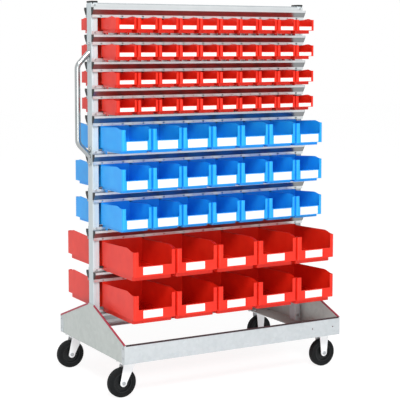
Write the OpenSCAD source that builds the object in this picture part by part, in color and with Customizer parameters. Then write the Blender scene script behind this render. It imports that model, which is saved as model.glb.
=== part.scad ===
// Double-sided mobile bin cart: a galvanised rack on four casters, with rails that carry
// open-fronted plastic bins on both sides. +Z is up, +X runs along the rack away from the
// push handle and -Y is the side shown first. The floor is at z = 0.

/* [Small bins] */
// Centre distance of the small bins in a row
small_pitch = 100; // [80:1:130]
// Depth of a small bin from its rear wall to its front
small_d = 155; // [110:1:190]
// Height of a small bin
small_h = 75; // [60:0.5:100]
// Height of the low front wall of a small bin
small_front_h = 42; // [25:1:55]
// Width of each front pillar of a small bin
small_pillar = 11.5; // [8:0.5:20]
// Drop of a small bin's side walls at the front pillars
small_dip = 5; // [2:0.5:12]
// Length of the slope that leads down to a small bin's pillars
small_slope = 34; // [16:1:60]
// Height of the stepped base of a small bin
small_step = 13.5; // [6:0.5:16]
// Height of the two ribs that carry a small bin on the rim
small_rib = 7.5; // [4:0.5:10]
// Small bins in a row
small_count = 10; // [4:1:10]

/* [Medium bins] */
// Centre distance of the medium bins in a row
medium_pitch = 145; // [110:1:170]
// Depth of a medium bin from its rear wall to its front
medium_d = 217; // [150:1:260]
// Height of a medium bin
medium_h = 124.5; // [90:0.5:150]
// Height of the low front wall of a medium bin
medium_front_h = 69; // [40:1:85]
// Width of each front pillar of a medium bin
medium_pillar = 15.5; // [10:0.5:26]
// Drop of a medium bin's side walls at the front pillars
medium_dip = 7.5; // [3:0.5:16]
// Length of the slope that leads down to a medium bin's pillars
medium_slope = 48; // [20:1:80]
// Height of the stepped base of a medium bin
medium_step = 13; // [8:0.5:18]
// Height of the two ribs that carry a medium bin on the rim
medium_rib = 15; // [6:0.5:18]
// Medium bins in a row
medium_count = 7; // [3:1:7]

/* [Large bins] */
// Centre distance of the large bins in a row
large_pitch = 202; // [150:1:230]
// Depth of a large bin from its rear wall to its front
large_d = 317; // [240:1:340]
// Height of a large bin
large_h = 141; // [100:0.5:170]
// Height of the low front wall of a large bin
large_front_h = 70; // [40:1:95]
// Width of each front pillar of a large bin
large_pillar = 20.5; // [12:0.5:32]
// Drop of a large bin's side walls at the front pillars
large_dip = 11; // [4:0.5:24]
// Length of the slope that leads down to a large bin's pillars
large_slope = 60; // [24:1:110]
// Height of the stepped base of a large bin
large_step = 20; // [8:0.5:24]
// Height of the two ribs that carry a large bin on the rim
large_rib = 7; // [4:0.5:14]
// Large bins in a row
large_count = 5; // [2:1:5]

/* [Bin moulding] */
// Wall thickness of every bin
bin_wall = 2.2; // [1.6:0.1:3]
// Gap between neighbouring bins in a row
bin_gap = 6; // [2:0.5:8]
// Thickness of the ribs under a bin
rib_t = 3; // [2:0.5:5]
// Inset of the base from the front of the bin
base_in_front = 26; // [12:1:34]
// Inset of the base from each side of the bin
base_in_side = 7; // [3:0.5:9]
// Length of the level top of a side wall behind its front pillar
pillar_run = 14; // [4:1:20]

/* [Rails] */
// Sheet thickness of the rails
rail_t = 1.5; // [1:0.1:2.5]
// Distance of the rim from the post face
rim_out = 23; // [18:0.5:30]
// Height of the upright rim
rim_h = 9.5; // [6:0.5:14]
// Height of the sloping wing
wing_h = 21.5; // [14:0.5:28]
// Clear width of the slot behind the lip
slot_w = 6; // [4.5:0.1:8]
// Height of the back strip above the rim
strip_h = 15; // [10:0.5:22]
// Height from the top of a bin to the rim of the rail above it
row_gap = 40.5; // [36.5:0.5:48]
// Engagement of a bin's rear tongue behind the lip
tongue_hold = 5; // [3:0.5:8]
// Travel that a bin has when it is lifted off
lift = 5; // [2:0.5:8]
// Height of the lowest rim above the floor
low_rim_z = 307; // [290:1:340]

/* [Posts] */
// Width of the post along the rack
post_w = 30; // [25:1:40]
// Depth of the post across the rack
post_d = 50; // [40:1:70]
// Wall thickness of the posts and the crossbeam
tube_t = 2; // [1.5:0.1:3]
// Free space between the widest row and each post
bay_play = 2.5; // [1:0.5:10]
// Post length above the back strip of the top rail
post_over = 5; // [3:1:25]
// Height of the post caps
cap_h = 8; // [4:0.5:14]
// Height of the crossbeam
cross_h = 40; // [25:1:50]
// Depth of the crossbeam
cross_d = 25; // [15:1:40]
// Height of the stubs inside the posts
foot_h = 60; // [45:1:90]
// Height of the cross bolts above the base flange
foot_bolt_z = 27; // [18:1:32]

/* [Base] */
// Depth of the base over the beams
base_d = 676; // [620:1:760]
// Height of the front and rear beams
beam_h = 80; // [60:1:100]
// Height of the end panels at the posts
peak_h = 192; // [180:1:240]
// Sheet thickness of the end panels
panel_t = 2; // [1.5:0.1:3]
// Sheet thickness of the beams
beam_t = 1.5; // [1:0.1:2]
// Width of the bottom flange of the end panels
flange_w = 100; // [96:1:140]
// Length of the end tabs of the beams
tab_l = 29; // [22:1:50]
// Width of the bottom flange of the beams
beam_flange = 25; // [12:1:40]
// Distance between the two open holes in the front beam
hole_pitch = 110; // [60:1:160]
// Diameter of the two open holes in the front beam
hole_dia = 7; // [4:0.1:12]
// Distance of the outer open hole from the end of the front beam
hole_end = 38.5; // [30:0.5:80]
// Height of the edge trims on the panels
trim_h = 6; // [4:0.5:9]
// Wall thickness of the edge trims
trim_t = 1.2; // [0.8:0.1:2]
// Height of the edge trims on the beams
beam_trim_h = 5; // [3:0.5:8]

/* [Handle] */
// Outer diameter of the handle tube
handle_dia = 24; // [18:0.5:30]
// Distance of the handle's centre line from the post
handle_out = 56; // [45:1:80]
// Length of the straight grip
grip_l = 334; // [220:1:420]
// Height of the middle of the grip
handle_z = 1214; // [1000:1:1300]
// Length of the handle's foot plates
handle_foot_l = 84; // [70:1:110]
// Thickness of the handle's foot plates
handle_foot_t = 3; // [2:0.5:5]

/* [Casters] */
// Wheel diameter
wheel_dia = 125; // [100:1:126]
// Width of the tyres
tyre_w = 32; // [24:1:36]
// Outer diameter of the wheel hubs
hub_dia = 86; // [70:1:92]
// Total height of the casters
caster_h = 154; // [150:1:165]
// Trail of the swivel casters
trail = 34; // [20:1:40]
// Length of the caster plates along the rack
plate_l = 94; // [88:1:96]
// Width of the caster plates across the rack
plate_w = 80; // [74:1:100]
// Thickness of the caster plates and fork legs
plate_t = 3; // [2:0.5:4]
// Distance of the caster bolts from the plate's edges
bolt_edge = 10; // [8:0.5:12]
// Distance of the casters from the outside of the beams
caster_in = 68; // [53:1:110]
// Diameter of the wheel axles
axle_dia = 10; // [8:0.5:14]
// Diameter of the king pins
king_dia = 12; // [8:0.5:16]
// Running clearance of pins and axles, on the radius
run_clear = 0.05; // [0.02:0.01:0.1]
// Side clearance between wheel and fork
side_clear = 2; // [1:0.5:4]

/* [Fasteners] */
// Shank diameter of the rail, handle and corner screws
screw_dia = 5; // [4:0.5:6]
// Head diameter of the screws
screw_head = 9; // [7:0.5:12]
// Height of the screw heads
screw_head_h = 2.2; // [1.5:0.1:3]
// Shank diameter of the bolts
bolt_dia = 8; // [6:0.5:10]
// Width across the corners of bolt heads and nuts
bolt_head = 14.5; // [11:0.5:17]
// Height of bolt heads and nuts
bolt_head_h = 5.5; // [4:0.5:8]
// Clearance of screws and bolts in their holes, on the radius
screw_clear = 0.1; // [0.05:0.05:0.3]

/* [Hidden] */
// Gap between pieces that move against each other
seat_gap = 0.3;
$fn = 48;
// Length by which a cut runs past the faces that it opens
cut_over = 1;
// Play that is left when a bin is lifted off
lift_play = 2;
// Rows of each kind of bin on each side, one node each
small_rows = 4;
medium_rows = 3;
large_rows = 2;

// Bin kinds as [pitch, depth, height, front height, pillar, count, dip, slope, step, rib]
SMALL = [small_pitch, small_d, small_h, small_front_h, small_pillar, small_count,
    small_dip, small_slope, small_step, small_rib];
MEDIUM = [medium_pitch, medium_d, medium_h, medium_front_h, medium_pillar, medium_count,
    medium_dip, medium_slope, medium_step, medium_rib];
LARGE = [large_pitch, large_d, large_h, large_front_h, large_pillar, large_count,
    large_dip, large_slope, large_step, large_rib];

// Rows from the top to the bottom, and the rim heights from the bottom up
ROWS = concat([for (i = [1:small_rows]) SMALL], [for (i = [1:medium_rows]) MEDIUM],
    [for (i = [1:large_rows]) LARGE]);
row_total = len(ROWS);
function rows_below(i) = [for (k = [i:1:row_total - 1]) ROWS[k][2] + row_gap];
function sum(v, i = 0) = i < len(v) ? v[i] + sum(v, i + 1) : 0;
function rim_z(level) = low_rim_z + sum(rows_below(level));

// Rack
bay_w = max([for (r = ROWS) r[0] * r[5]]) + 2 * bay_play;
post_x = bay_w / 2 + post_w / 2;
rack_x = bay_w / 2 + post_w;
post_face = post_d / 2;
post_top = rim_z(0) + strip_h + post_over;
panel_x = rack_x + panel_t;
beam_x = panel_x + beam_t;
beam_y = base_d / 2;
panel_y = beam_y - beam_t;
base_z = caster_h;
flange_z = base_z + panel_t;
peak_z = base_z + peak_h;
shoulder_z = base_z + beam_h;
slope_l = norm([panel_y - post_face, peak_z - shoulder_z]);
slope_angle = atan2(peak_z - shoulder_z, panel_y - post_face);

plug_in = tube_t + seat_gap;
tab_mid = beam_y - tab_l / 2;
tab_h = beam_h - trim_h / cos(slope_angle) - seat_gap;
beam_end = 2;
corner_z = [base_z + tab_h / 3, base_z + tab_h - screw_head];

// Handle
handle_x = rack_x + handle_out;
handle_r = handle_dia / 2;
handle_end = grip_l / 2 + handle_out;
bend_r = 40;
bend_run = bend_r * tan(22.5);
bend_lap = 1;
bend_thin = 0.1;
handle_foot_edge = 2;
handle_foot_w = handle_dia + 2 * handle_foot_edge;
handle_screw_d = handle_foot_l / 2 - screw_head;
handle_screw_z = [for (s = [-1, 1], d = [-1, 1]) handle_z + s * handle_end + d * handle_screw_d];

// Rail profile, measured out from the post face and up from the rim
lip_h = tongue_hold + lift + lift_play;
lip_out = rail_t + slot_w + rail_t;
wing_z = -rim_h - wing_h;
lip_z = wing_z - lip_h;
screw_edge = 1;
screw_z = strip_h - screw_head / 2 - screw_edge;
screw_l = 10;
plug_play = 2;
plug_h = post_over + strip_h - screw_z - screw_dia / 2 - plug_play;

// Trough of a rail between its back strip and its wing, and the caps in its ends
floor_z = wing_z + rail_t;
trough_w = lip_out - rail_t / 2;
knee_z = rail_t / 2 - rim_h;
cap_plug_l = 8;
cap_t = 1.2;

// Bins
tongue_t = bin_wall;
tongue_out = rail_t + (slot_w - tongue_t) / 2;
bin_rear = post_face + tongue_out;
tongue_top = row_gap - seat_gap + lip_z + tongue_hold;
rear_drop = lift + lift_play + seat_gap - lip_z - row_gap;
rear_flat = lip_out - tongue_out + lift_play;
rib_over = 8;
rib_l = rim_out - tongue_out + rib_over;
rib_in = 12;

// Casters
caster_x = rack_x - flange_w / 2 + panel_t;
caster_y = beam_y - caster_in;
axle_z = wheel_dia / 2;
hub_w = tyre_w + 2 * side_clear - 2 * seat_gap;
leg_in = tyre_w / 2 + side_clear;
leg_out = leg_in + plate_t;
bolt_x = plate_l / 2 - bolt_edge;
bolt_y = plate_w / 2 - bolt_edge;
plate_z = base_z - plate_t;
crown_t = 6;
race_h = 8;
race_dia = 56;
race_z = plate_z - race_h;
crown_top = race_z - seat_gap;
crown_z = crown_top - crown_t;
king_head = 22;
king_head_h = 4;
king_z = crown_z - seat_gap - king_head_h;
leg_top_front = 24;
leg_top_rear = 32;
leg_end_r = 15;
axle_head = 17;
axle_head_h = 6;
boss_dia = 30;
web_t = 10;
hub_rim_t = 6;
hub_fit = 0.1;
tyre_round = 6;

// The origin lies on the floor under the middle of the whole cart
left_reach = max(handle_x + handle_r, caster_x + trail + axle_z);
right_reach = max(beam_x + screw_head_h, caster_x + axle_z);
mid_x = (left_reach - right_reach) / 2;

// Colours
zinc = [0.78, 0.8, 0.81];
bin_red = [0.86, 0.13, 0.11];
bin_blue = [0.13, 0.49, 0.91];
trim_red = [0.62, 0.09, 0.2];
trim_dark = [0.15, 0.05, 0.07];
dark = [0.08, 0.08, 0.09];

// Shared helpers

// Puts the rack's own middle where the frame wants it
module placed() {
    translate([mid_x, 0, 0]) children();
}

// Turns a front piece to the rear side
module on_side(rear) {
    rotate([0, 0, rear ? 180 : 0]) children();
}

// Extrudes a profile drawn in (out from the middle, up) towards +X, on the front side
module along_plus_x(length) {
    rotate([90, 0, 90])
        mirror([1, 0, 0])
            linear_extrude(length) children();
}

// The same profile centred on x = 0
module along_x(length) {
    translate([-length / 2, 0, 0]) along_plus_x(length) children();
}

// A drilled hole or a shank along an axis, centred
module rod_x(dia, length) {
    rotate([0, 90, 0]) cylinder(d = dia, h = length, center = true);
}

module rod_y(dia, length) {
    rotate([90, 0, 0]) cylinder(d = dia, h = length, center = true);
}

// Bins

// One bin with its rear wall at y = 0, its front towards -Y and its ribs down to z = 0
module bin(kind) {
    w = kind[0] - bin_gap;
    d = kind[1];
    h = kind[2];
    front_h = kind[3];
    pillar = kind[4];
    dip = kind[6];
    slope = kind[7];
    rib_h = kind[9];
    step_z = rib_h + kind[8];
    inner_w = w - 2 * bin_wall;
    base_w = w - 2 * base_in_side;
    base_l = d - base_in_front;
    side = [[0, step_z], [d, step_z], [d, h - dip],
        [d - pillar_run, h - dip], [d - pillar_run - slope, h],
        [rear_flat, h - rear_drop], [0, h - rear_drop]];
    difference() {
        union() {
            along_x(w) polygon(side);
            translate([-base_w / 2, -base_l, rib_h])
                cube([base_w, base_l, kind[8] + bin_wall]);
            for (s = [-1, 1])
                translate([s * (base_w / 2 - rib_in) - rib_t / 2, -rib_l, 0])
                    cube([rib_t, rib_l, rib_h + bin_wall]);
            translate([-inner_w / 2, -tongue_t, h - rear_drop - bin_wall])
                cube([inner_w, tongue_t, rear_drop + bin_wall + tongue_top]);
        }
        translate([-inner_w / 2, bin_wall - d, step_z + bin_wall])
            cube([inner_w, d - 2 * bin_wall, h]);
        translate([bin_wall - base_w / 2, bin_wall - base_l, rib_h + bin_wall])
            cube([base_w - 2 * bin_wall, base_l - 2 * bin_wall, h]);
        translate([pillar - w / 2, -d - bin_wall, front_h])
            cube([w - 2 * pillar, 3 * bin_wall, h]);
    }
}

// One row of bins, counted from the top
module bin_row(row, rear) {
    kind = ROWS[row - 1];
    count = kind[5];
    first = -(count - 1) / 2 * kind[0];
    placed()
        on_side(rear)
            for (i = [0:count - 1])
                translate([first + i * kind[0], -bin_rear, rim_z(row) + seat_gap])
                    bin(kind);
}

module red_row(row, rear) {
    color(bin_red) bin_row(row, rear);
}

module blue_row(row, rear) {
    color(bin_blue) bin_row(row, rear);
}

module front_bins_1() { red_row(1, false); }
module front_bins_2() { red_row(2, false); }
module front_bins_3() { red_row(3, false); }
module front_bins_4() { red_row(4, false); }
module front_bins_5() { blue_row(5, false); }
module front_bins_6() { blue_row(6, false); }
module front_bins_7() { blue_row(7, false); }
module front_bins_8() { red_row(8, false); }
module front_bins_9() { red_row(9, false); }
module rear_bins_1() { red_row(1, true); }
module rear_bins_2() { red_row(2, true); }
module rear_bins_3() { red_row(3, true); }
module rear_bins_4() { red_row(4, true); }
module rear_bins_5() { blue_row(5, true); }
module rear_bins_6() { blue_row(6, true); }
module rear_bins_7() { blue_row(7, true); }
module rear_bins_8() { red_row(8, true); }
module rear_bins_9() { red_row(9, true); }

// Rails

// Outline of a rail: back strip, web over the slot, lip, sloping wing and upright rim
module rail_outline() {
    polygon([[0, lip_z], [rail_t, lip_z], [rail_t, wing_z], [lip_out - rail_t, wing_z],
        [lip_out - rail_t, lip_z], [lip_out, lip_z], [lip_out, wing_z], [rim_out, -rim_h],
        [rim_out, 0], [rim_out - rail_t, 0], [rim_out - rail_t, rail_t / 2 - rim_h],
        [lip_out - rail_t / 2, wing_z + rail_t], [rail_t, wing_z + rail_t],
        [rail_t, strip_h], [0, strip_h]]);
}

// One rail with its screw holes over the posts
module rail(level) {
    translate([0, 0, rim_z(level)])
        difference() {
            along_x(2 * rack_x)
                translate([post_face, 0]) rail_outline();
            for (s = [-1, 1])
                translate([s * post_x, -post_face, screw_z])
                    rod_y(screw_dia + 2 * screw_clear, 4 * rail_t);
        }
}

module rails(first, last, rear) {
    color(zinc)
        placed()
            on_side(rear)
                for (level = [first:last])
                    rail(level);
}

module front_small_rails() { rails(0, small_rows - 1, false); }
module front_medium_rails() { rails(small_rows, small_rows + medium_rows - 1, false); }
module front_large_rails() { rails(small_rows + medium_rows, row_total, false); }
module rear_small_rails() { rails(0, small_rows - 1, true); }
module rear_medium_rails() { rails(small_rows, small_rows + medium_rows - 1, true); }
module rear_large_rails() { rails(small_rows + medium_rows, row_total, true); }

// A pan-head screw with its head towards +Z and the seat of the head at z = 0
module screw(shank) {
    cylinder(d = screw_head, h = screw_head_h);
    translate([0, 0, -shank]) cylinder(d = screw_dia, h = shank + screw_head_h / 2);
}

module rail_screws() {
    color(zinc)
        placed()
            for (rear = [false, true], level = [0:row_total], s = [-1, 1])
                on_side(rear)
                    translate([s * post_x, -post_face - rail_t, rim_z(level) + screw_z])
                        rotate([90, 0, 0]) screw(screw_l);
}

// Outline of the plug of a rail cap, inside the rail's trough by the seat gap
module cap_plug_outline() {
    polygon([[rail_t + seat_gap, floor_z + seat_gap], [trough_w - seat_gap, floor_z + seat_gap],
        [rim_out - rail_t - seat_gap, knee_z], [rim_out - rail_t - seat_gap, -seat_gap],
        [rail_t + seat_gap, -seat_gap]]);
}

// Outline of the flange of a rail cap, which covers the trough and the sheet around it
module cap_flange_outline() {
    polygon([[0, wing_z], [lip_out, wing_z], [rim_out, -rim_h], [rim_out, 0], [0, 0]]);
}

// A cap on the right end of a rail, with its flange against the rail's end
module rail_cap() {
    translate([rack_x - cap_plug_l, 0, 0])
        along_plus_x(cap_plug_l + cap_t / 2) translate([post_face, 0]) cap_plug_outline();
    translate([rack_x, 0, 0])
        along_plus_x(cap_t) translate([post_face, 0]) cap_flange_outline();
}

// The lowest rails end at the panels and need no caps
module rail_caps() {
    color(dark)
        placed()
            for (rear = [false, true], level = [0:row_total - 1], left = [0, 1])
                on_side(rear)
                    mirror([left, 0, 0])
                        translate([0, 0, rim_z(level)]) rail_cap();
}

// Posts and crossbeam

module post(s) {
    tall = post_top - flange_z;
    placed()
        translate([s * post_x, 0, 0])
            difference() {
                translate([-post_w / 2, -post_d / 2, flange_z])
                    cube([post_w, post_d, tall]);
                translate([tube_t - post_w / 2, tube_t - post_d / 2, flange_z - cut_over])
                    cube([post_w - 2 * tube_t, post_d - 2 * tube_t, tall + 2 * cut_over]);
                for (level = [0:row_total])
                    translate([0, 0, rim_z(level) + screw_z])
                        rod_y(screw_dia + 2 * screw_clear, post_d + 2 * cut_over);
                translate([0, 0, flange_z + foot_bolt_z])
                    rod_y(bolt_dia + 2 * screw_clear, post_d + 2 * cut_over);
                if (s < 0)
                    for (z = handle_screw_z)
                        translate([-post_w / 2, 0, z])
                            rod_x(screw_dia + 2 * screw_clear, 4 * tube_t);
            }
}

module left_post() { color(zinc) post(-1); }
module right_post() { color(zinc) post(1); }

module post_caps() {
    color(dark)
        placed()
            for (s = [-1, 1])
                translate([s * post_x, 0, post_top]) {
                    translate([-post_w / 2, -post_d / 2, 0])
                        cube([post_w, post_d, cap_h]);
                    translate([plug_in - post_w / 2, plug_in - post_d / 2, -plug_h])
                        cube([post_w - 2 * plug_in, post_d - 2 * plug_in, plug_h + cap_h / 2]);
                }
}

module post_feet() {
    color(zinc)
        placed()
            for (s = [-1, 1])
                translate([s * post_x, 0, flange_z])
                    difference() {
                        translate([plug_in - post_w / 2, plug_in - post_d / 2, 0])
                            cube([post_w - 2 * plug_in, post_d - 2 * plug_in, foot_h]);
                        translate([0, 0, foot_bolt_z])
                            rod_y(bolt_dia + 2 * screw_clear, post_d);
                    }
}

// A hexagon bolt along Z: head below z = 0, nut from z = grip up
module bolt(grip) {
    cylinder(d = bolt_dia, h = grip + bolt_head_h);
    translate([0, 0, -bolt_head_h]) cylinder(d = bolt_head, h = bolt_head_h, $fn = 6);
    translate([0, 0, grip]) cylinder(d = bolt_head, h = bolt_head_h, $fn = 6);
}

module foot_bolts() {
    color(zinc)
        placed()
            for (s = [-1, 1])
                translate([s * post_x, -post_face, flange_z + foot_bolt_z])
                    rotate([-90, 0, 0]) bolt(post_d);
}

module top_crossbeam() {
    color(zinc)
        placed()
            translate([0, 0, post_top - cross_h / 2])
                difference() {
                    cube([bay_w, cross_d, cross_h], center = true);
                    cube([bay_w + 2 * cut_over, cross_d - 2 * tube_t, cross_h - 2 * tube_t], center = true);
                }
}

// Base

// Outline of an end panel, drawn in (y, z)
module panel_outline() {
    polygon([[-panel_y, base_z], [panel_y, base_z], [panel_y, shoulder_z], [post_face, peak_z],
        [-post_face, peak_z], [-panel_y, shoulder_z]]);
}

// The right end panel with its bottom flange, caster holes and corner holes
module end_panel() {
    difference() {
        union() {
            translate([rack_x, 0, 0])
                rotate([90, 0, 90]) linear_extrude(panel_t) panel_outline();
            translate([panel_x - flange_w, -panel_y, base_z])
                cube([flange_w, 2 * panel_y, panel_t]);
        }
        for (side = [-1, 1]) {
            for (dx = [-bolt_x, bolt_x], dy = [-bolt_y, bolt_y])
                translate([caster_x + dx, side * caster_y + dy, base_z - cut_over])
                    cylinder(d = bolt_dia + 2 * screw_clear, h = panel_t + 2 * cut_over);
            for (z = corner_z)
                translate([rack_x, side * tab_mid, z])
                    rod_x(screw_dia + 2 * screw_clear, 4 * panel_t);
        }
    }
}

module left_end_panel() { color(zinc) placed() mirror([1, 0, 0]) end_panel(); }
module right_end_panel() { color(zinc) placed() end_panel(); }

// Edge trims on both slopes of the right end panel
module slope_trims() {
    for (side = [0, 1])
        mirror([0, side, 0])
            translate([rack_x + panel_t / 2, -panel_y, shoulder_z])
                rotate([slope_angle, 0, 0])
                    difference() {
                        translate([-panel_t / 2 - trim_t, 0, trim_t - trim_h])
                            cube([panel_t + 2 * trim_t, slope_l - trim_h, trim_h]);
                        translate([-panel_t / 2, -cut_over, -trim_h])
                            cube([panel_t, slope_l + 2 * cut_over, trim_h]);
                    }
}

module panel_trims() {
    color(trim_red)
        placed()
            for (left = [0, 1])
                mirror([left, 0, 0]) slope_trims();
}

// A beam on the front side: web, bottom flange and the end tabs bent round the panels
module beam() {
    translate([-beam_x, -beam_y, base_z])
        cube([2 * beam_x, beam_t, beam_h]);
    translate([beam_end - panel_x + flange_w, -beam_y, base_z])
        cube([2 * (panel_x - flange_w - beam_end), beam_flange, beam_t]);
    difference() {
        for (s = [-1, 1])
            translate([s * (panel_x + beam_t / 2) - beam_t / 2, -beam_y, base_z])
                cube([beam_t, tab_l, tab_h]);
        for (s = [-1, 1], z = corner_z)
            translate([s * panel_x, -tab_mid, z])
                rod_x(screw_dia + 2 * screw_clear, 4 * beam_t);
    }
}

module front_beam() {
    color(zinc)
        placed()
            difference() {
                beam();
                for (x = [0, hole_pitch])
                    translate([beam_x - hole_end - x, -beam_y, base_z + beam_h / 2])
                        rod_y(hole_dia, 4 * beam_t);
            }
}

module rear_beam() { color(zinc) placed() on_side(true) beam(); }

module beam_trims() {
    long = rack_x - trim_t - beam_end;
    color(trim_dark)
        placed()
            for (rear = [false, true])
                on_side(rear)
                    translate([-long, -beam_y - trim_t, shoulder_z - beam_trim_h + trim_t])
                        difference() {
                            cube([2 * long, beam_t + 2 * trim_t, beam_trim_h]);
                            translate([-cut_over, trim_t, -trim_t])
                                cube([2 * (long + cut_over), beam_t, beam_trim_h]);
                        }
}

module corner_screws() {
    color(zinc)
        placed()
            for (s = [0, 1], side = [-1, 1], z = corner_z)
                mirror([s, 0, 0])
                    translate([beam_x, side * tab_mid, z])
                        rotate([0, 90, 0]) screw(screw_l);
}

// Handle

// The bent handle bar: grip, two bends and two slanted legs that lap over the bends
module handle_bar() {
    straight = grip_l / 2 - bend_run;
    translate([-handle_x, 0, -straight - bend_lap])
        cylinder(r = handle_r, h = 2 * (straight + bend_lap));
    for (up = [0, 1])
        mirror([0, 0, up])
            translate([bend_r - handle_x, 0, straight]) {
                rotate([90, 0, 0])
                    rotate([0, 0, 135])
                        rotate_extrude(angle = 45)
                            translate([bend_r, 0]) circle(r = handle_r - bend_thin);
                translate([-bend_r * cos(45), 0, bend_r * sin(45)])
                    rotate([0, 45, 0])
                        translate([0, 0, -bend_lap])
                            cylinder(r = handle_r, h = 2 * handle_out);
            }
}

// The left post's push handle: bent bar on two foot plates
module push_handle() {
    color(zinc)
        placed()
            translate([0, 0, handle_z])
                difference() {
                    union() {
                        handle_bar();
                        for (s = [-1, 1])
                            translate([-rack_x - handle_foot_t, -handle_foot_w / 2,
                                    s * handle_end - handle_foot_l / 2])
                                cube([handle_foot_t, handle_foot_w, handle_foot_l]);
                    }
                    translate([-rack_x, -handle_out, -2 * handle_end])
                        cube([3 * handle_out, 2 * handle_out, 4 * handle_end]);
                    for (z = handle_screw_z)
                        translate([-rack_x, 0, z - handle_z])
                            rod_x(screw_dia + 2 * screw_clear, 4 * handle_foot_t);
                }
}

module handle_screws() {
    color(zinc)
        placed()
            for (z = handle_screw_z)
                translate([-rack_x - handle_foot_t, 0, z])
                    rotate([0, -90, 0]) screw(screw_l);
}

// Casters

// Puts a piece at a caster: end -1 is the handle end, side -1 is the front
module at_caster(end, side, shift = 0) {
    placed()
        translate([end * caster_x + shift, side * caster_y, 0]) children();
}

// The plate's four bolt places
module bolt_places() {
    for (dx = [-bolt_x, bolt_x], dy = [-bolt_y, bolt_y])
        translate([dx, dy, 0]) children();
}

module caster_plate() {
    translate([-plate_l / 2, -plate_w / 2, plate_z])
        cube([plate_l, plate_w, plate_t]);
}

module bolt_holes() {
    bolt_places()
        translate([0, 0, plate_z - cut_over])
            cylinder(d = bolt_dia + 2 * screw_clear, h = plate_t + 2 * cut_over);
}

module swivel_plate(side) {
    color(zinc)
        at_caster(-1, side)
            difference() {
                union() {
                    caster_plate();
                    translate([0, 0, race_z]) cylinder(d = race_dia, h = race_h + plate_t / 2);
                }
                bolt_holes();
                translate([0, 0, race_z - cut_over])
                    cylinder(d = king_dia + 2 * run_clear, h = race_h + plate_t + 2 * cut_over);
            }
}

module front_swivel_plate() { swivel_plate(-1); }
module rear_swivel_plate() { swivel_plate(1); }

module king_pins() {
    color(zinc)
        for (side = [-1, 1])
            at_caster(-1, side) {
                translate([0, 0, king_z]) cylinder(d = king_head, h = king_head_h);
                translate([0, 0, king_z]) cylinder(d = king_dia, h = base_z - king_z);
            }
}

// Outline of a fork leg in (x, z): from the top edge down to the axle at axle_x
module leg_outline(front, rear, top, axle_x) {
    difference() {
        union() {
            translate([axle_x, axle_z]) circle(r = leg_end_r);
            polygon([[-rear, top], [front, top], [axle_x + leg_end_r, axle_z],
                [axle_x - leg_end_r, axle_z]]);
        }
        translate([axle_x, axle_z]) circle(d = axle_dia + 2 * run_clear);
    }
}

module legs(front, rear, top, axle_x) {
    for (y = [-leg_in, leg_out])
        translate([0, y, 0])
            rotate([90, 0, 0])
                linear_extrude(plate_t) leg_outline(front, rear, top, axle_x);
}

module swivel_fork(side) {
    color(zinc)
        at_caster(-1, side)
            difference() {
                union() {
                    legs(leg_top_front, leg_top_rear, crown_top, -trail);
                    translate([-leg_top_rear, -leg_out, crown_z])
                        cube([leg_top_rear + leg_top_front, 2 * leg_out, crown_t]);
                }
                translate([0, 0, crown_z - cut_over])
                    cylinder(d = king_dia + 2 * run_clear, h = crown_t + 2 * cut_over);
            }
}

module front_swivel_fork() { swivel_fork(-1); }
module rear_swivel_fork() { swivel_fork(1); }

module fixed_fork(side) {
    color(zinc)
        at_caster(1, side)
            difference() {
                union() {
                    caster_plate();
                    legs(leg_top_front, leg_top_front, base_z - plate_t / 2, 0);
                }
                bolt_holes();
            }
}

module front_fixed_fork() { fixed_fork(-1); }
module rear_fixed_fork() { fixed_fork(1); }

// A wheel axle along Y with a hexagon head and nut outside the legs
module axle() {
    translate([0, 0, axle_z]) {
        rod_y(axle_dia, 2 * (leg_out + axle_head_h));
        for (s = [-1, 1])
            translate([0, s * (leg_out + axle_head_h / 2), 0])
                rotate([90, 0, 0])
                    cylinder(d = axle_head, h = axle_head_h, center = true, $fn = 6);
    }
}

module front_swivel_axle() { color(zinc) at_caster(-1, -1, -trail) axle(); }
module rear_swivel_axle() { color(zinc) at_caster(-1, 1, -trail) axle(); }

module fixed_axles() {
    color(zinc)
        for (side = [-1, 1])
            at_caster(1, side) axle();
}

// Wheel hub: boss, web and rim round the axle
module hub() {
    rim_w = tyre_w - 2 * side_clear;
    color(dark)
        translate([0, 0, axle_z])
            difference() {
                union() {
                    rod_y(boss_dia, hub_w);
                    rod_y(hub_dia - hub_rim_t, web_t);
                    difference() {
                        rod_y(hub_dia, rim_w);
                        rod_y(hub_dia - 2 * hub_rim_t, rim_w + 2 * cut_over);
                    }
                }
                rod_y(axle_dia + 2 * run_clear, hub_w + 2 * cut_over);
            }
}

// Tyre with rounded shoulders
module tyre() {
    inner = hub_dia / 2 + hub_fit;
    outer = wheel_dia / 2;
    half = tyre_w / 2;
    color(dark)
        translate([0, 0, axle_z])
            rotate([90, 0, 0])
                rotate_extrude() {
                    translate([inner, -half]) square([outer - inner - tyre_round, tyre_w]);
                    translate([inner, tyre_round - half])
                        square([outer - inner, tyre_w - 2 * tyre_round]);
                    for (y = [tyre_round - half, half - tyre_round])
                        translate([outer - tyre_round, y]) circle(r = tyre_round);
                }
}

module front_left_hub() { at_caster(-1, -1, -trail) hub(); }
module rear_left_hub() { at_caster(-1, 1, -trail) hub(); }
module front_right_hub() { at_caster(1, -1) hub(); }
module rear_right_hub() { at_caster(1, 1) hub(); }
module front_left_tyre() { at_caster(-1, -1, -trail) tyre(); }
module rear_left_tyre() { at_caster(-1, 1, -trail) tyre(); }
module front_right_tyre() { at_caster(1, -1) tyre(); }
module rear_right_tyre() { at_caster(1, 1) tyre(); }

module caster_bolts() {
    color(zinc)
        for (end = [-1, 1], side = [-1, 1])
            at_caster(end, side)
                bolt_places()
                    translate([0, 0, plate_z]) bolt(plate_t + panel_t);
}

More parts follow.
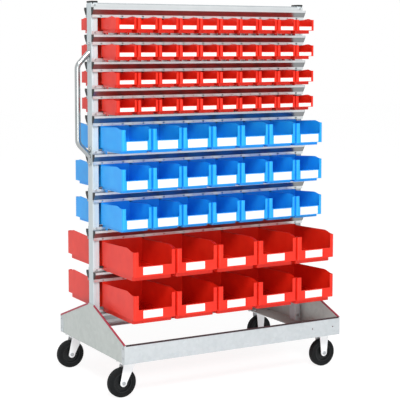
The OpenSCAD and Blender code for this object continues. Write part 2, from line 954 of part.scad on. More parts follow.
left_end_panel();
right_end_panel();
panel_trims();
front_beam();
rear_beam();
beam_trims();
corner_screws();
left_post();
right_post();
post_caps();
post_feet();
foot_bolts();
top_crossbeam();
front_small_rails();
front_medium_rails();
front_large_rails();
rear_small_rails();
rear_medium_rails();
rear_large_rails();
rail_screws();
rail_caps();
push_handle();
handle_screws();
front_bins_1();
front_bins_2();
front_bins_3();
front_bins_4();
front_bins_5();
front_bins_6();
front_bins_7();
front_bins_8();
front_bins_9();
rear_bins_1();
rear_bins_2();
rear_bins_3();
rear_bins_4();
rear_bins_5();
rear_bins_6();
rear_bins_7();
rear_bins_8();
rear_bins_9();
front_swivel_plate();
rear_swivel_plate();
king_pins();
front_swivel_fork();
rear_swivel_fork();
front_swivel_axle();
rear_swivel_axle();
front_fixed_fork();
rear_fixed_fork();
fixed_axles();
front_left_hub();
rear_left_hub();
front_right_hub();
rear_right_hub();
front_left_tyre();
rear_left_tyre();
front_right_tyre();
rear_right_tyre();
caster_bolts();
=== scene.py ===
import math

import bmesh
import bpy
from mathutils import Matrix, Vector


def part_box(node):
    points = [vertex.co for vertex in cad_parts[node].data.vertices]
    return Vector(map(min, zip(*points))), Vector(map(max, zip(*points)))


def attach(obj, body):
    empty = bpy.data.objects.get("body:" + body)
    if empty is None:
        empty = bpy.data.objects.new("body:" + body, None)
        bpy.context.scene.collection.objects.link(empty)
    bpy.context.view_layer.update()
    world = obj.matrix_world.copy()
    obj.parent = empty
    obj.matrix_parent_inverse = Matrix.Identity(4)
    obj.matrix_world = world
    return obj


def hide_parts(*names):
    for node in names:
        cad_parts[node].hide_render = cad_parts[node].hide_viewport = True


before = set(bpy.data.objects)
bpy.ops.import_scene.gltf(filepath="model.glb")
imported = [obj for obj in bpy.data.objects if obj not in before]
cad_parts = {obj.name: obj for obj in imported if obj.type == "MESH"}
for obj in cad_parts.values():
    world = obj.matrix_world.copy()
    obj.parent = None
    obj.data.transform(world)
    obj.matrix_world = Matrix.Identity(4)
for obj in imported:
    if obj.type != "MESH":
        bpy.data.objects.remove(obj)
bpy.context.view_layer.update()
print("frame loaded,", len(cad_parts), "nodes")

mm = 0.001
closeBy = 0.1 * mm                      # nearer than any two features are
facing, squarely = 0.9, 0.99            # least share of a normal or an edge that points along an axis
rack = {                                # mm, the sizes that the solids were built with
    "middleX": 26.75, "rims": [1627, 1511.5, 1396, 1280.5, 1165, 1000, 835, 670, 488.5, 307],
    "endX": 540, "postFace": 25}


# working helpers

def deselectAll():
    if bpy.context.object and bpy.context.object.mode != "OBJECT":
        bpy.ops.object.mode_set(mode="OBJECT")
    bpy.ops.object.select_all(action="DESELECT")


def makeActive(piece):
    deselectAll()
    piece.select_set(True)
    bpy.context.view_layer.objects.active = piece


def edit(piece):
    makeActive(piece)
    bpy.ops.object.mode_set(mode="EDIT")


# selects the faces, edges or corners that pass the test, in edit mode
def pick(piece, kind, test):
    shape = bmesh.from_edit_mesh(piece.data)
    bpy.context.tool_settings.mesh_select_mode = (kind == "VERT", kind == "EDGE", kind == "FACE")
    shape.select_mode = {kind}
    bpy.ops.mesh.select_all(action="DESELECT")
    shape.normal_update()
    groups = {"VERT": shape.verts, "EDGE": shape.edges, "FACE": shape.faces}
    found = [item for item in groups[kind] if test(item)]
    for item in found:
        item.select_set(True)
    shape.select_flush_mode()
    bmesh.update_edit_mesh(piece.data)
    return len(found)


# cuts only the picked faces along a plane
def cutFaces(piece, test, point, normal):
    if pick(piece, "FACE", test):
        bpy.ops.mesh.bisect(plane_co=point, plane_no=normal)


def applyPlace(piece):
    makeActive(piece)
    bpy.ops.object.transform_apply(location=True, rotation=True, scale=True)
    return piece


def addBox(name, low, high):
    deselectAll()
    low, high = Vector(low), Vector(high)
    bpy.ops.mesh.primitive_cube_add(size=1, location=(low + high) / 2)
    piece = bpy.context.object
    piece.name = name
    piece.scale = high - low
    return applyPlace(piece)


def applyModifier(piece, name, kind, **settings):
    makeActive(piece)
    modifier = piece.modifiers.new(name, kind)
    for key, value in settings.items():
        setattr(modifier, key, value)
    bpy.ops.object.modifier_apply(modifier=name)


# rounds every sharp edge and keeps the flats flat
def softenEdges(piece, width, segments=2, sharpFrom=35):
    applyModifier(piece, "softEdges", "BEVEL", width=width, segments=segments, limit_method="ANGLE",
                  angle_limit=math.radians(sharpFrom))
    smoothPiece(piece)


def smoothPiece(piece, degrees=40):
    makeActive(piece)
    bpy.ops.object.shade_smooth_by_angle(angle=math.radians(degrees))
    applyModifier(piece, "flatFaces", "WEIGHTED_NORMAL", keep_sharp=True, weight=100)


def near(a, b, slack=0.05 * mm):
    return abs(a - b) < slack


def middle(face):
    return face.calc_center_median()


# whether a face looks to the front or the rear
def looksAlongY(face):
    return abs(face.normal.y) > squarely


# whether an edge runs along an axis, which is 0 to 2
def runsAlong(edge, axis, least=facing):
    start, end = edge.verts
    return abs((start.co - end.co).normalized()[axis]) > least


def copyPiece(master, matrix):
    copy = master.copy()
    copy.data = master.data.copy()
    copy.data.transform(matrix)
    bpy.context.scene.collection.objects.link(copy)
    return copy


def joinPieces(pieces, name):
    deselectAll()
    for piece in pieces:
        piece.select_set(True)
    bpy.context.view_layer.objects.active = pieces[0]
    if len(pieces) > 1:
        bpy.ops.object.join()
    pieces[0].name = name
    return pieces[0]


def removePiece(piece):
    makeActive(piece)
    bpy.ops.object.delete()


# gives a piece its finish, its body and the solids that it stands for
def finishPiece(piece, material, slot, body, *nodes):
    piece.data.materials.clear()
    piece.data.materials.append(material)
    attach(piece, body)
    if nodes:
        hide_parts(*nodes)
    return piece


copyLimits = {"merge": 0.005, "flatWithin": 0.5, "sharpFrom": 25}      # mm, degrees, degrees


# a merged copy of a solid with its edges broken, as a shop would
def brokenEdgeCopy(node, name, width, cutter=None, fuller=0):
    piece = copyPiece(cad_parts[node], Matrix.Identity(4))
    piece.name = name
    piece.parent = None
    for key in list(piece.keys()):
        del piece[key]
    edit(piece)
    bpy.ops.mesh.customdata_custom_splitnormals_clear()
    bpy.ops.mesh.select_all(action="SELECT")
    bpy.ops.mesh.remove_doubles(threshold=copyLimits["merge"] * mm)
    bpy.ops.mesh.dissolve_limited(angle_limit=math.radians(copyLimits["flatWithin"]))
    if fuller:
        bpy.ops.transform.shrink_fatten(value=fuller, use_even_offset=True)
    bpy.ops.object.mode_set(mode="OBJECT")
    if cutter:
        applyModifier(piece, "slots", "BOOLEAN", operation="DIFFERENCE", object=cutter)
        removePiece(cutter)
    softenEdges(piece, width, 2, copyLimits["sharpFrom"])
    return piece


# colours and materials

# a colour as written for screens, taken back through the screen's curve
def toLinear(hexText):
    parts = [int(hexText[i:i + 2], 16) / 255 for i in (1, 3, 5)]
    return tuple(p / 12.92 if p <= 0.04045 else ((p + 0.055) / 1.055) ** 2.4 for p in parts) + (1,)


def addNode(tree, kind, values=None, links=None, **settings):
    node = tree.nodes.new(kind)
    for key, value in settings.items():
        setattr(node, key, value)
    for socket, value in (values or {}).items():
        node.inputs[socket].default_value = value
    for socket, source in (links or {}).items():
        tree.links.new(source, node.inputs[socket])
    return node


def startMaterial(name, values):
    material = bpy.data.materials.new(name)
    material.use_nodes = True
    tree = material.node_tree
    shader = tree.nodes["Principled BSDF"]
    for socket, value in values.items():
        shader.inputs[socket].default_value = value
    place = addNode(tree, "ShaderNodeTexCoord").outputs["Object"]
    return material, tree, shader, place


# joins a finish's colour, gloss and relief to its shader
def joinFinish(tree, shader, colour, gloss, relief):
    tree.links.new(colour, shader.inputs["Base Color"])
    tree.links.new(gloss.outputs["Result"], shader.inputs["Roughness"])
    tree.links.new(relief.outputs["Normal"], shader.inputs["Normal"])


# sets a ramp's two tones and where they start
def setTones(ramp, starts, dark, light):
    for stop, start, tone in zip(ramp.color_ramp.elements, starts, (dark, light)):
        stop.position = start
        stop.color = toLinear(tone)


sheetLook = {"cloud": 160, "cloudShare": 0.62, "tones": (0.25, 0.75), "smoother": 0.06, "rougher": 0.08,
             "ripple": 0.06, "rippleDeep": 0.4}                         # cloud and rippleDeep in mm


# galvanised sheet: zinc crystals about 15 mm across that catch the light a little differently,
# over a cloudy haze
def galvanisedSheet(name, dark, light, metallic, rough, spangle=14):
    look = sheetLook
    material, tree, shader, place = startMaterial(name, {"Metallic": metallic})
    cells = addNode(tree, "ShaderNodeTexVoronoi", {"Scale": 1 / (spangle * mm), "Randomness": 1.0},
                    {"Vector": place})
    cloud = addNode(tree, "ShaderNodeTexNoise",
                    {"Scale": 1 / (look["cloud"] * mm), "Detail": 4.0, "Roughness": 0.55}, {"Vector": place})
    grey = addNode(tree, "ShaderNodeRGBToBW", None, {"Color": cells.outputs["Color"]})
    mixed = addNode(tree, "ShaderNodeMix", {"Factor": look["cloudShare"]},
                    {"A": grey.outputs[0], "B": cloud.outputs["Fac"]}, data_type="FLOAT")
    tone = addNode(tree, "ShaderNodeValToRGB", None, {"Fac": mixed.outputs["Result"]})
    setTones(tone, look["tones"], dark, light)
    gloss = addNode(tree, "ShaderNodeMapRange",
                    {"To Min": rough - look["smoother"], "To Max": rough + look["rougher"]},
                    {"Value": mixed.outputs["Result"]})
    ripple = addNode(tree, "ShaderNodeBump",
                     {"Strength": look["ripple"], "Distance": look["rippleDeep"] * mm},
                     {"Height": mixed.outputs["Result"]})
    joinFinish(tree, shader, tone.outputs["Color"], gloss, ripple)
    return material


zincLook = {"drawnOut": 0.012,          # the lines are about 80 times as long as wide
            "haze": 90, "hazeShare": 0.5, "tones": (0.3, 0.7), "smoother": 0.05, "rougher": 0.07,
            # painted shade: full where the normal points this far down, and gone from here up; how much of
            # the normal points up
            "shadeFullAtZ": -0.5, "shadeEndsAtZ": -0.1,                         # how much of the normal points up
            "scratch": 0.04, "scratchDeep": 0.1}                        # haze and scratchDeep in mm


# rolled or drawn zinc-plated steel: bright, with fine lines along the way it was rolled; below is the share
# of brightness that flats keep where they lean towards the floor: painted shade, darker where the normal
# points down
def brightZinc(name, dark, light, rough, along, lineWidth=0.9, metallic=1.0, below=1.0):
    look = zincLook
    material, tree, shader, place = startMaterial(name, {"Metallic": metallic})
    lines = 1 / (lineWidth * mm)        # coarser than the real rolling marks, which are too fine to show
    stretch = [lines * (look["drawnOut"] if axis == along else 1) for axis in range(3)]
    turned = addNode(tree, "ShaderNodeMapping", {"Scale": stretch}, {"Vector": place})
    marks = addNode(tree, "ShaderNodeTexNoise", {"Scale": 1.0, "Detail": 3.0, "Roughness": 0.6},
                    {"Vector": turned.outputs[0]})
    haze = addNode(tree, "ShaderNodeTexNoise", {"Scale": 1 / (look["haze"] * mm), "Detail": 3.0},
                   {"Vector": place})
    mixed = addNode(tree, "ShaderNodeMix", {"Factor": look["hazeShare"]},
                    {"A": marks.outputs["Fac"], "B": haze.outputs["Fac"]}, data_type="FLOAT")
    tone = addNode(tree, "ShaderNodeValToRGB", None, {"Fac": mixed.outputs["Result"]})
    setTones(tone, look["tones"], dark, light)
    surface = addNode(tree, "ShaderNodeNewGeometry")
    lean = addNode(tree, "ShaderNodeSeparateXYZ", None, {"Vector": surface.outputs["Normal"]})
    # painted shade: the colour is cut down to the share below on flats whose normal leans towards the floor
    paintedShade = addNode(tree, "ShaderNodeMapRange",
                   {"From Min": look["shadeFullAtZ"], "From Max": look["shadeEndsAtZ"],
                    "To Min": below, "To Max": 1.0}, {"Value": lean.outputs["Z"]})
    shaded = addNode(tree, "ShaderNodeVectorMath", None,
                     {0: tone.outputs["Color"], 1: paintedShade.outputs["Result"]}, operation="MULTIPLY")
    gloss = addNode(tree, "ShaderNodeMapRange",
                    {"To Min": rough - look["smoother"], "To Max": rough + look["rougher"]},
                    {"Value": mixed.outputs["Result"]})
    scratch = addNode(tree, "ShaderNodeBump",
                      {"Strength": look["scratch"], "Distance": look["scratchDeep"] * mm},
                      {"Height": marks.outputs["Fac"]})
    joinFinish(tree, shader, shaded.outputs["Vector"], gloss, scratch)
    return material


mouldLook = {"tones": (0.3, 0.7), "smoother": 0.05, "rougher": 0.05, "poreDeep": 0.15}      # poreDeep in mm


# moulded plastic or rubber: even colour with faint flow marks and a fine skin grain
def moulded(name, dark, light, rough, grain, flow=60, ior=1.49, bump=0.08, shine=0.5):
    look = mouldLook
    material, tree, shader, place = startMaterial(name, {"IOR": ior, "Specular IOR Level": shine})
    marks = addNode(tree, "ShaderNodeTexNoise", {"Scale": 1 / (flow * mm), "Detail": 2.0},
                    {"Vector": place})
    skin = addNode(tree, "ShaderNodeTexNoise", {"Scale": 1 / (grain * mm), "Detail": 2.0},
                   {"Vector": place})
    tone = addNode(tree, "ShaderNodeValToRGB", None, {"Fac": marks.outputs["Fac"]})
    setTones(tone, look["tones"], dark, light)
    gloss = addNode(tree, "ShaderNodeMapRange",
                    {"To Min": rough - look["smoother"], "To Max": rough + look["rougher"]},
                    {"Value": skin.outputs["Fac"]})
    pores = addNode(tree, "ShaderNodeBump", {"Strength": bump, "Distance": look["poreDeep"] * mm},
                    {"Height": skin.outputs["Fac"]})
    joinFinish(tree, shader, tone.outputs["Color"], gloss, pores)
    return material


# some colours below carry painted light or shade, as noted at each
finishes = {                            # the colours as they look in even light
    "beamSheet": galvanisedSheet("galvanisedBeamSheet", "#BEC5C8", "#CAD0D3", 0.3, 0.46),
    # painted shade: the end panels are the same galvanised sheet as the beams, given a darker grey for their
    # sides turned away from the light
    "shadedPanelSheet": galvanisedSheet("galvanisedPanelSheet", "#B4BBB8", "#C3C9C6", 0.6, 0.42, spangle=18),
    "postTube": brightZinc("galvanisedPostTube", "#C0CBCE", "#D1DBDF", 0.5, 2, metallic=0.1),
    # painted shade: the rails' wings lean towards the floor and keep only 38 % of their colour
    "railSheet": brightZinc("zincRailSheet", "#D3D8DA", "#E4E8E9", 0.3, 0, metallic=0.9, below=0.38),
    "handleTube": brightZinc("zincHandleTube", "#9DA2A3", "#B4B9BA", 0.2, 2),
    # painted light: the caster steel is given a near-white colour so the forks in the shade under the cart
    # still read pale
    "casterSteel": brightZinc("zincCasterSteel", "#F0F3F5", "#FBFCFD", 0.36, 1, lineWidth=1.4, metallic=0.3),
    "fastener": brightZinc("zincFastener", "#A4A8AB", "#C2C6C8", 0.3, 1, lineWidth=1.2),
    "redPlastic": moulded("redPolypropylene", "#E62514", "#EF301A", 0.36, 0.9, shine=0.36),
    "bluePlastic": moulded("bluePolypropylene", "#18A3FC", "#26AEFF", 0.36, 0.9, shine=0.4),
    "crimsonTrim": moulded("crimsonSoftVinyl", "#9C1B38", "#B02743", 0.45, 0.8),
    # painted shade: the beam trims are the same crimson edge trim as the panels', coloured near-black for
    # the dark line along the beam tops
    "shadedTrim": moulded("shadedCrimsonVinyl", "#22090F", "#331118", 0.5, 0.8),
    "capPlastic": moulded("blackPolyethylene", "#08090A", "#101213", 0.5, 0.8),
    "hubPlastic": moulded("blackWheelNylon", "#0B0D0E", "#15181A", 0.45, 0.8, shine=0.3),
    "tyreRubber": moulded("blackTyreRubber", "#08090A", "#111416", 0.7, 1.2, flow=25, ior=1.4, bump=0.25,
                          shine=0.3),
    "labelCard": moulded("whiteLabelCard", "#F1EDE7", "#F6F3EE", 0.6, 1.0, flow=40, ior=1.45, bump=0.04)}
print("materials made:", len(finishes))


# bins

binShape = {                            # shared by all bins, mm
    "wall": 2.2, "baseFront": 26, "baseSide": 7, "baseRear": 1.5, "baseCorner": 8, "rearFlat": 7.6,
    "rearDrop": 9.8, "tongue": 2.2, "tongueEdge": 7, "pillarRun": 14, "rearCorner": 2.5, "pocket": 1.6,
    "edge": 0.6, "card": 0.6, "cardEdge": 0.2, "ribWide": 3, "ribLong": 27.6, "ribIn": 12}
curveSteps = 6                          # straight pieces in the S of a side wall
binKinds = {                            # mm, read from the photo's labels and outlines
    "small": {"rows": (1, 2, 3, 4), "pitch": 100, "width": 94, "depth": 155, "height": 75, "front": 42,
              "pillar": 11.5, "rib": 7.5, "step": 13.5, "count": 10, "dip": 5, "curve": 34, "corner": 6,
              "label": (66, 16), "labelAt": (0, 31.1),
              "panel": (71, 22.6, 40.2), "edgeSteps": 1, "finish": "redPlastic", "slot": "red_plastic"},
    "medium": {"rows": (5, 6, 7), "pitch": 145, "width": 139, "depth": 217, "height": 124.5, "front": 69,
               "pillar": 15.5, "rib": 15, "step": 13, "count": 7, "dip": 7.5, "curve": 48, "corner": 8,
               "label": (95, 35), "labelAt": (0, 48.3),
               "panel": (108, 30, 67), "edgeSteps": 2, "finish": "bluePlastic", "slot": "blue_plastic"},
    "large": {"rows": (8, 9), "pitch": 202, "width": 196, "depth": 317, "height": 141, "front": 70,
              "pillar": 20.5, "rib": 7, "step": 20, "count": 5, "dip": 11, "curve": 60, "corner": 9,
              "label": (91, 33), "labelAt": (-10, 49.9),
              "panel": (99, 32.5, 67.5), "edgeSteps": 2, "finish": "redPlastic", "slot": "red_plastic"}}


# one bin with its rear wall at y = 0, its front towards -y and its ribs down to z = 0
def modelBin(name, kind):
    size = {key: value * mm for key, value in binShape.items()}
    wide, deep, high = kind["width"] * mm, kind["depth"] * mm, kind["height"] * mm
    front, pillar, dip = kind["front"] * mm, kind["pillar"] * mm, kind["dip"] * mm
    ribHigh, step = kind["rib"] * mm, kind["step"] * mm
    stepZ = ribHigh + step

    def isFront(face):
        return face.normal.y < -facing

    def isSide(face):
        return abs(face.normal.x) > facing

    def isRear(face):
        return face.normal.y > facing

    piece = addBox(name, (-wide / 2, -deep, stepZ), (wide / 2, 0, high))
    edit(piece)
    pick(piece, "FACE", lambda f: f.normal.z > facing)
    bpy.ops.mesh.delete(type="FACE")
    # side walls: a top edge that rises from the rear, then an S down to the front pillar
    curveEnd = deep - size["pillarRun"]
    curveStart = curveEnd - kind["curve"] * mm
    profile = [(curveStart + (curveEnd - curveStart) * i / curveSteps,
                -dip * (0.5 - 0.5 * math.cos(math.pi * i / curveSteps))) for i in range(curveSteps + 1)]
    profile.append((size["rearFlat"], -size["rearDrop"]))
    for run, drop in profile:
        cutFaces(piece, isSide, (0, -run, 0), (0, 1, 0))
    profile += [(0, -size["rearDrop"]), (deep, -dip)]
    # rear wall: lower corners and a tongue that reaches behind the rail's lip
    tongueX = wide / 2 - size["tongueEdge"]
    for x in (-tongueX, tongueX):
        cutFaces(piece, isRear, (x, 0, 0), (1, 0, 0))
    # front wall: two pillars and a low wall between them
    pillarX = wide / 2 - pillar
    for x in (-pillarX, pillarX):
        cutFaces(piece, isFront, (x, 0, 0), (1, 0, 0))
    cutFaces(piece, isFront, (0, 0, front), (0, 0, 1))
    pick(piece, "FACE", lambda f: isFront(f) and middle(f).z > front and abs(middle(f).x) < pillarX)
    bpy.ops.mesh.delete(type="FACE")
    for run, drop in profile:
        pick(piece, "VERT", lambda v: near(v.co.y, -run) and near(v.co.z, high)
             and abs(v.co.x) > (tongueX + closeBy if run == 0 else pillarX - closeBy))
        bpy.ops.transform.translate(value=(0, 0, drop))
    pick(piece, "VERT", lambda v: near(v.co.y, 0) and near(v.co.z, high)
         and abs(v.co.x) < tongueX + closeBy)
    bpy.ops.transform.translate(value=(0, 0, size["tongue"]))
    # stepped base, drawn in from the sides and the front
    pick(piece, "FACE", lambda f: f.normal.z < -facing)
    bpy.ops.mesh.extrude_region_move(TRANSFORM_OT_translate={"value": (0, 0, 0)})
    baseWide, baseDeep = wide - 2 * size["baseSide"], deep - size["baseFront"] - size["baseRear"]
    bpy.ops.transform.resize(value=(baseWide / wide, baseDeep / deep, 1),
                             center_override=(0, -deep / 2, stepZ))
    bpy.ops.transform.translate(value=(0, (size["baseFront"] - size["baseRear"]) / 2, 0))
    bpy.ops.mesh.extrude_region_move(TRANSFORM_OT_translate={"value": (0, 0, -step)})

    # rounded upright corners
    def atCorner(edge, x, y):
        corner = edge.verts[0].co
        return near(abs(corner.x), x) and near(corner.y, y) and runsAlong(edge, 2, squarely)

    corners = ((wide / 2, -deep, kind["corner"] * mm, 3), (wide / 2, 0, size["rearCorner"], 2),
               (baseWide / 2, size["baseFront"] - deep, size["baseCorner"], 3))
    for x, y, radius, segments in corners:
        pick(piece, "EDGE", lambda e: atCorner(e, x, y))
        bpy.ops.mesh.bevel(offset=radius, segments=segments, affect="EDGES")
    applyModifier(piece, "wall", "SOLIDIFY", thickness=size["wall"], offset=-1, use_even_offset=True)
    # shallow panel for the label card, pressed into the outer skin
    edit(piece)
    labelX = kind["labelAt"][0] * mm
    panelWide, panelLow, panelHigh = [value * mm for value in kind["panel"]]

    def onLowWall(face):
        spot = middle(face)
        return isFront(face) and near(spot.y, -deep) and spot.z < front and abs(spot.x) < pillarX

    for x in (labelX - panelWide / 2, labelX + panelWide / 2):
        cutFaces(piece, onLowWall, (x, 0, 0), (1, 0, 0))
    for z in (panelLow, panelHigh):
        cutFaces(piece, onLowWall, (0, 0, z), (0, 0, 1))
    pick(piece, "FACE", lambda f: onLowWall(f) and panelLow < middle(f).z < panelHigh
         and abs(middle(f).x - labelX) < panelWide / 2)
    bpy.ops.mesh.extrude_region_move(TRANSFORM_OT_translate={"value": (0, size["pocket"], 0)})
    bpy.ops.object.mode_set(mode="OBJECT")
    softenEdges(piece, size["edge"], kind["edgeSteps"])
    # two ribs under the rear of the base, which stand on the rail's rim
    ribs = []
    for way in (-1, 1):
        x = way * (baseWide / 2 - size["ribIn"])
        rib = addBox("rib", (x - size["ribWide"] / 2, -size["ribLong"], 0),
                     (x + size["ribWide"] / 2, -size["baseRear"], ribHigh + size["wall"] / 2))
        softenEdges(rib, size["edge"], 1)
        ribs.append(rib)
    print(name, "modelled,", len(piece.data.polygons), "faces")
    return joinPieces([piece] + ribs, name)


# the card in a bin's label panel
def modelCard(name, kind):
    cardWide, cardHigh = [value * mm for value in kind["label"]]
    x, z = [value * mm for value in kind["labelAt"]]
    back = -kind["depth"] * mm + binShape["pocket"] * mm
    piece = addBox(name, (x - cardWide / 2, back - binShape["card"] * mm, z - cardHigh / 2),
                   (x + cardWide / 2, back, z + cardHigh / 2))
    softenEdges(piece, binShape["cardEdge"] * mm, 1)
    return piece


for kindName, kind in binKinds.items():
    binMaster = modelBin(kindName + "Bin", kind)
    cardMaster = modelCard(kindName + "Card", kind)
    for row in kind["rows"]:
        for side in ("front", "rear"):
            node, body = f"{side}_bins_{row}", f"{side}_row_{row}"
            low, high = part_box(node)
            turn = Matrix.Rotation(math.pi if side == "rear" else 0, 4, "Z")
            wallY = high.y if side == "front" else low.y
            spots = []
            for i in range(kind["count"]):
                x = (low.x + high.x) / 2 + (i - (kind["count"] - 1) / 2) * kind["pitch"] * mm
                spots.append(Matrix.Translation((x, wallY, low.z)) @ turn)
            binRow = joinPieces([copyPiece(binMaster, spot) for spot in spots], f"{side}BinRow{row}")
            finishPiece(binRow, finishes[kind["finish"]], kind["slot"], body, node)
            cardRow = joinPieces([copyPiece(cardMaster, spot) for spot in spots], f"{side}LabelCards{row}")
            finishPiece(cardRow, finishes["labelCard"], None, body)
    removePiece(binMaster)
    removePiece(cardMaster)
print("bins placed")


# posts: tube with rounded edges and a pressed groove on both broad sides

postShape = {"width": 30, "corner": 4, "grooveFrom": 3.5, "grooveTo": 9.5, "grooveDeep": 2.5, "wall": 2,
             "edge": 0.4}               # mm


# outer is -1 or 1, the way to the end of the rack
def modelPost(node, name, outer):
    low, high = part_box(node)
    centreX = (low.x + high.x) / 2
    piece = addBox(name, low, high)
    edit(piece)
    pick(piece, "EDGE", lambda e: runsAlong(e, 2))
    bpy.ops.mesh.bevel(offset=postShape["corner"] * mm, segments=4, affect="EDGES")
    edgeX = centreX + outer * postShape["width"] / 2 * mm
    cuts = [edgeX - outer * postShape[key] * mm for key in ("grooveFrom", "grooveTo")]
    for x in cuts:
        cutFaces(piece, looksAlongY, (x, 0, 0), (1, 0, 0))
    for way in (-1, 1):
        inward = (0, -way * postShape["grooveDeep"] * mm, 0)
        pick(piece, "FACE", lambda f: f.normal.y * way > squarely
             and min(cuts) < middle(f).x < max(cuts))
        bpy.ops.mesh.extrude_region_move(TRANSFORM_OT_translate={"value": inward})
    pick(piece, "FACE", lambda f: abs(f.normal.z) > facing)
    bpy.ops.mesh.delete(type="FACE")
    bpy.ops.object.mode_set(mode="OBJECT")
    applyModifier(piece, "wall", "SOLIDIFY", thickness=postShape["wall"] * mm, offset=-1,
                  use_even_offset=True)
    softenEdges(piece, postShape["edge"] * mm)
    return piece


for end, outer in (("left", -1), ("right", 1)):
    post = modelPost(f"{end}_post", f"{end}Post", outer)
    finishPiece(post, finishes["postTube"], "galvanised_sheet", "frame", f"{end}_post")
print("posts modelled")


# rail end caps: black plugs with a thin flange that close the trough of each rail

capShape = {"flange": 1.2, "plug": 5, "edge": 0.4,                      # mm, outlines as (out, up)
            "outline": [(0.2, 0.4), (23.4, 0.4), (23.4, -9.9), (9.3, -31.4), (0.2, -31.4)],
            "inside": [(1.7, -0.6), (21.3, -0.6), (21.3, -8.7), (8.3, -29.2), (1.7, -29.2)]}


# a slab with the given outline in (out, up), from x = 0 to x = thick; it starts as a disc of any radius,
# whose corners are then moved
def outlineSlab(name, outline, thick):
    deselectAll()
    bpy.ops.mesh.primitive_circle_add(vertices=len(outline), radius=10 * mm, fill_type="NGON",
                                      rotation=(0, math.radians(90), 0))
    piece = applyPlace(bpy.context.object)
    piece.name = name
    for corner, (out, up) in zip(piece.data.vertices, outline):
        corner.co = (0, -out * mm, up * mm)
    edit(piece)
    bpy.ops.mesh.select_all(action="SELECT")
    bpy.ops.mesh.extrude_region_move(TRANSFORM_OT_translate={"value": (thick * mm, 0, 0)})
    bpy.ops.mesh.select_all(action="SELECT")
    bpy.ops.mesh.normals_make_consistent(inside=False)
    bpy.ops.object.mode_set(mode="OBJECT")
    return piece


capFlange = outlineSlab("capFlange", capShape["outline"], -capShape["flange"])
softenEdges(capFlange, capShape["edge"] * mm)
capPlug = outlineSlab("capPlug", capShape["inside"], capShape["plug"])
capMaster = joinPieces([capFlange, capPlug], "railCap")
railCaps = []
for rim in rack["rims"][:-1]:           # the lowest rails end at the panels
    for turn in (0, math.pi):
        for mirrored in (1, -1):
            spot = (Matrix.Translation((rack["middleX"] * mm, 0, rim * mm)) @ Matrix.Rotation(turn, 4, "Z")
                    @ Matrix.Diagonal((mirrored, 1, 1, 1))
                    @ Matrix.Translation((-rack["endX"] * mm, -rack["postFace"] * mm, 0)))
            cap = copyPiece(capMaster, spot)
            if mirrored < 0:
                cap.data.flip_normals()
            railCaps.append(cap)
removePiece(capMaster)
endCaps = joinPieces(railCaps, "railEndCaps")
finishPiece(endCaps, finishes["capPlastic"], "cap_plastic", "frame", "rail_caps")
print("rail end caps placed")


# push handle: bent tube on two foot plates

handleShape = {                         # mm
    "x": -569.25, "middleZ": 1214, "grip": 334, "reach": 56, "radius": 12, "bend": 40, "sides": 24,
    "plate": (3, 28, 84), "plateX": -513.25, "plateCorner": 9, "plateEdge": 0.5, "endGap": 0.5}


def modelHandle(name):
    size = handleShape
    turn = math.radians(45)             # between a leg and the grip
    tangent = size["bend"] * math.tan(turn / 2)
    legLength = size["reach"] * math.sqrt(2) - tangent
    low = size["middleZ"] - size["grip"] / 2
    start = Vector((size["x"] + size["reach"], 0, low - size["reach"])) * mm
    legWay = Vector((-1, 0, 1)).normalized()
    deselectAll()
    bpy.ops.mesh.primitive_circle_add(vertices=size["sides"], radius=size["radius"] * mm,
                                      fill_type="NOTHING", location=start, rotation=(0, -turn, 0))
    piece = applyPlace(bpy.context.object)
    piece.name = name
    edit(piece)
    pick(piece, "EDGE", lambda e: True)
    bpy.ops.mesh.extrude_region_move(TRANSFORM_OT_translate={"value": legWay * legLength * mm})
    straight = size["grip"] - 2 * tangent
    centreX = (size["x"] + size["bend"]) * mm
    for z, travel in ((low + tangent, Vector((0, 0, straight))),
                      (low + tangent + straight, Vector((1, 0, 1)).normalized() * legLength)):
        bpy.ops.mesh.spin(steps=6, angle=-turn, center=(centreX, 0, z * mm), axis=(0, 1, 0))
        bpy.ops.mesh.extrude_region_move(TRANSFORM_OT_translate={"value": travel * mm})
    bpy.ops.mesh.select_all(action="SELECT")
    bpy.ops.mesh.remove_doubles(threshold=0.01 * mm)
    bpy.ops.mesh.normals_make_consistent(inside=False)
    # the ends are cut flush with the post
    bpy.ops.mesh.select_all(action="SELECT")
    bpy.ops.mesh.bisect(plane_co=((size["plateX"] - size["endGap"]) * mm, 0, 0), plane_no=(1, 0, 0),
                        clear_outer=True, use_fill=True)
    bpy.ops.object.mode_set(mode="OBJECT")
    thick, wide, tall = [value / 2 * mm for value in size["plate"]]
    plates = []
    for way in (-1, 1):
        z = (size["middleZ"] + way * (size["grip"] / 2 + size["reach"])) * mm
        x = size["plateX"] * mm - thick
        plate = addBox("plate", (x - thick, -wide, z - tall), (x + thick, wide, z + tall))
        edit(plate)
        pick(plate, "EDGE", lambda e: runsAlong(e, 0))
        bpy.ops.mesh.bevel(offset=size["plateCorner"] * mm, segments=4, affect="EDGES")
        bpy.ops.object.mode_set(mode="OBJECT")
        softenEdges(plate, size["plateEdge"] * mm)
        plates.append(plate)
    smoothPiece(piece)
    return joinPieces([piece] + plates, name)


finishPiece(modelHandle("pushHandle"), finishes["handleTube"], "handle_steel", "frame", "push_handle")
print("push handle modelled")


# wheels: tyre and hub turned from discs

wheelShape = {                          # mm, radii and widths
    "outer": 62.5, "hub": 43, "hubGap": 0.2, "tyreWidth": 32, "hubWidth": 28, "shoulder": 8,
    "ringWide": 2.2, "ringDeep": 1.2, "tyreEdge": 0.5, "rim": 6, "rimSlope": 1.5, "recess": 8, "boss": 15,
    "bossSlope": 1, "bossWidth": 35.4, "bore": 5.1, "hubEdge": 0.6, "sides": 64}


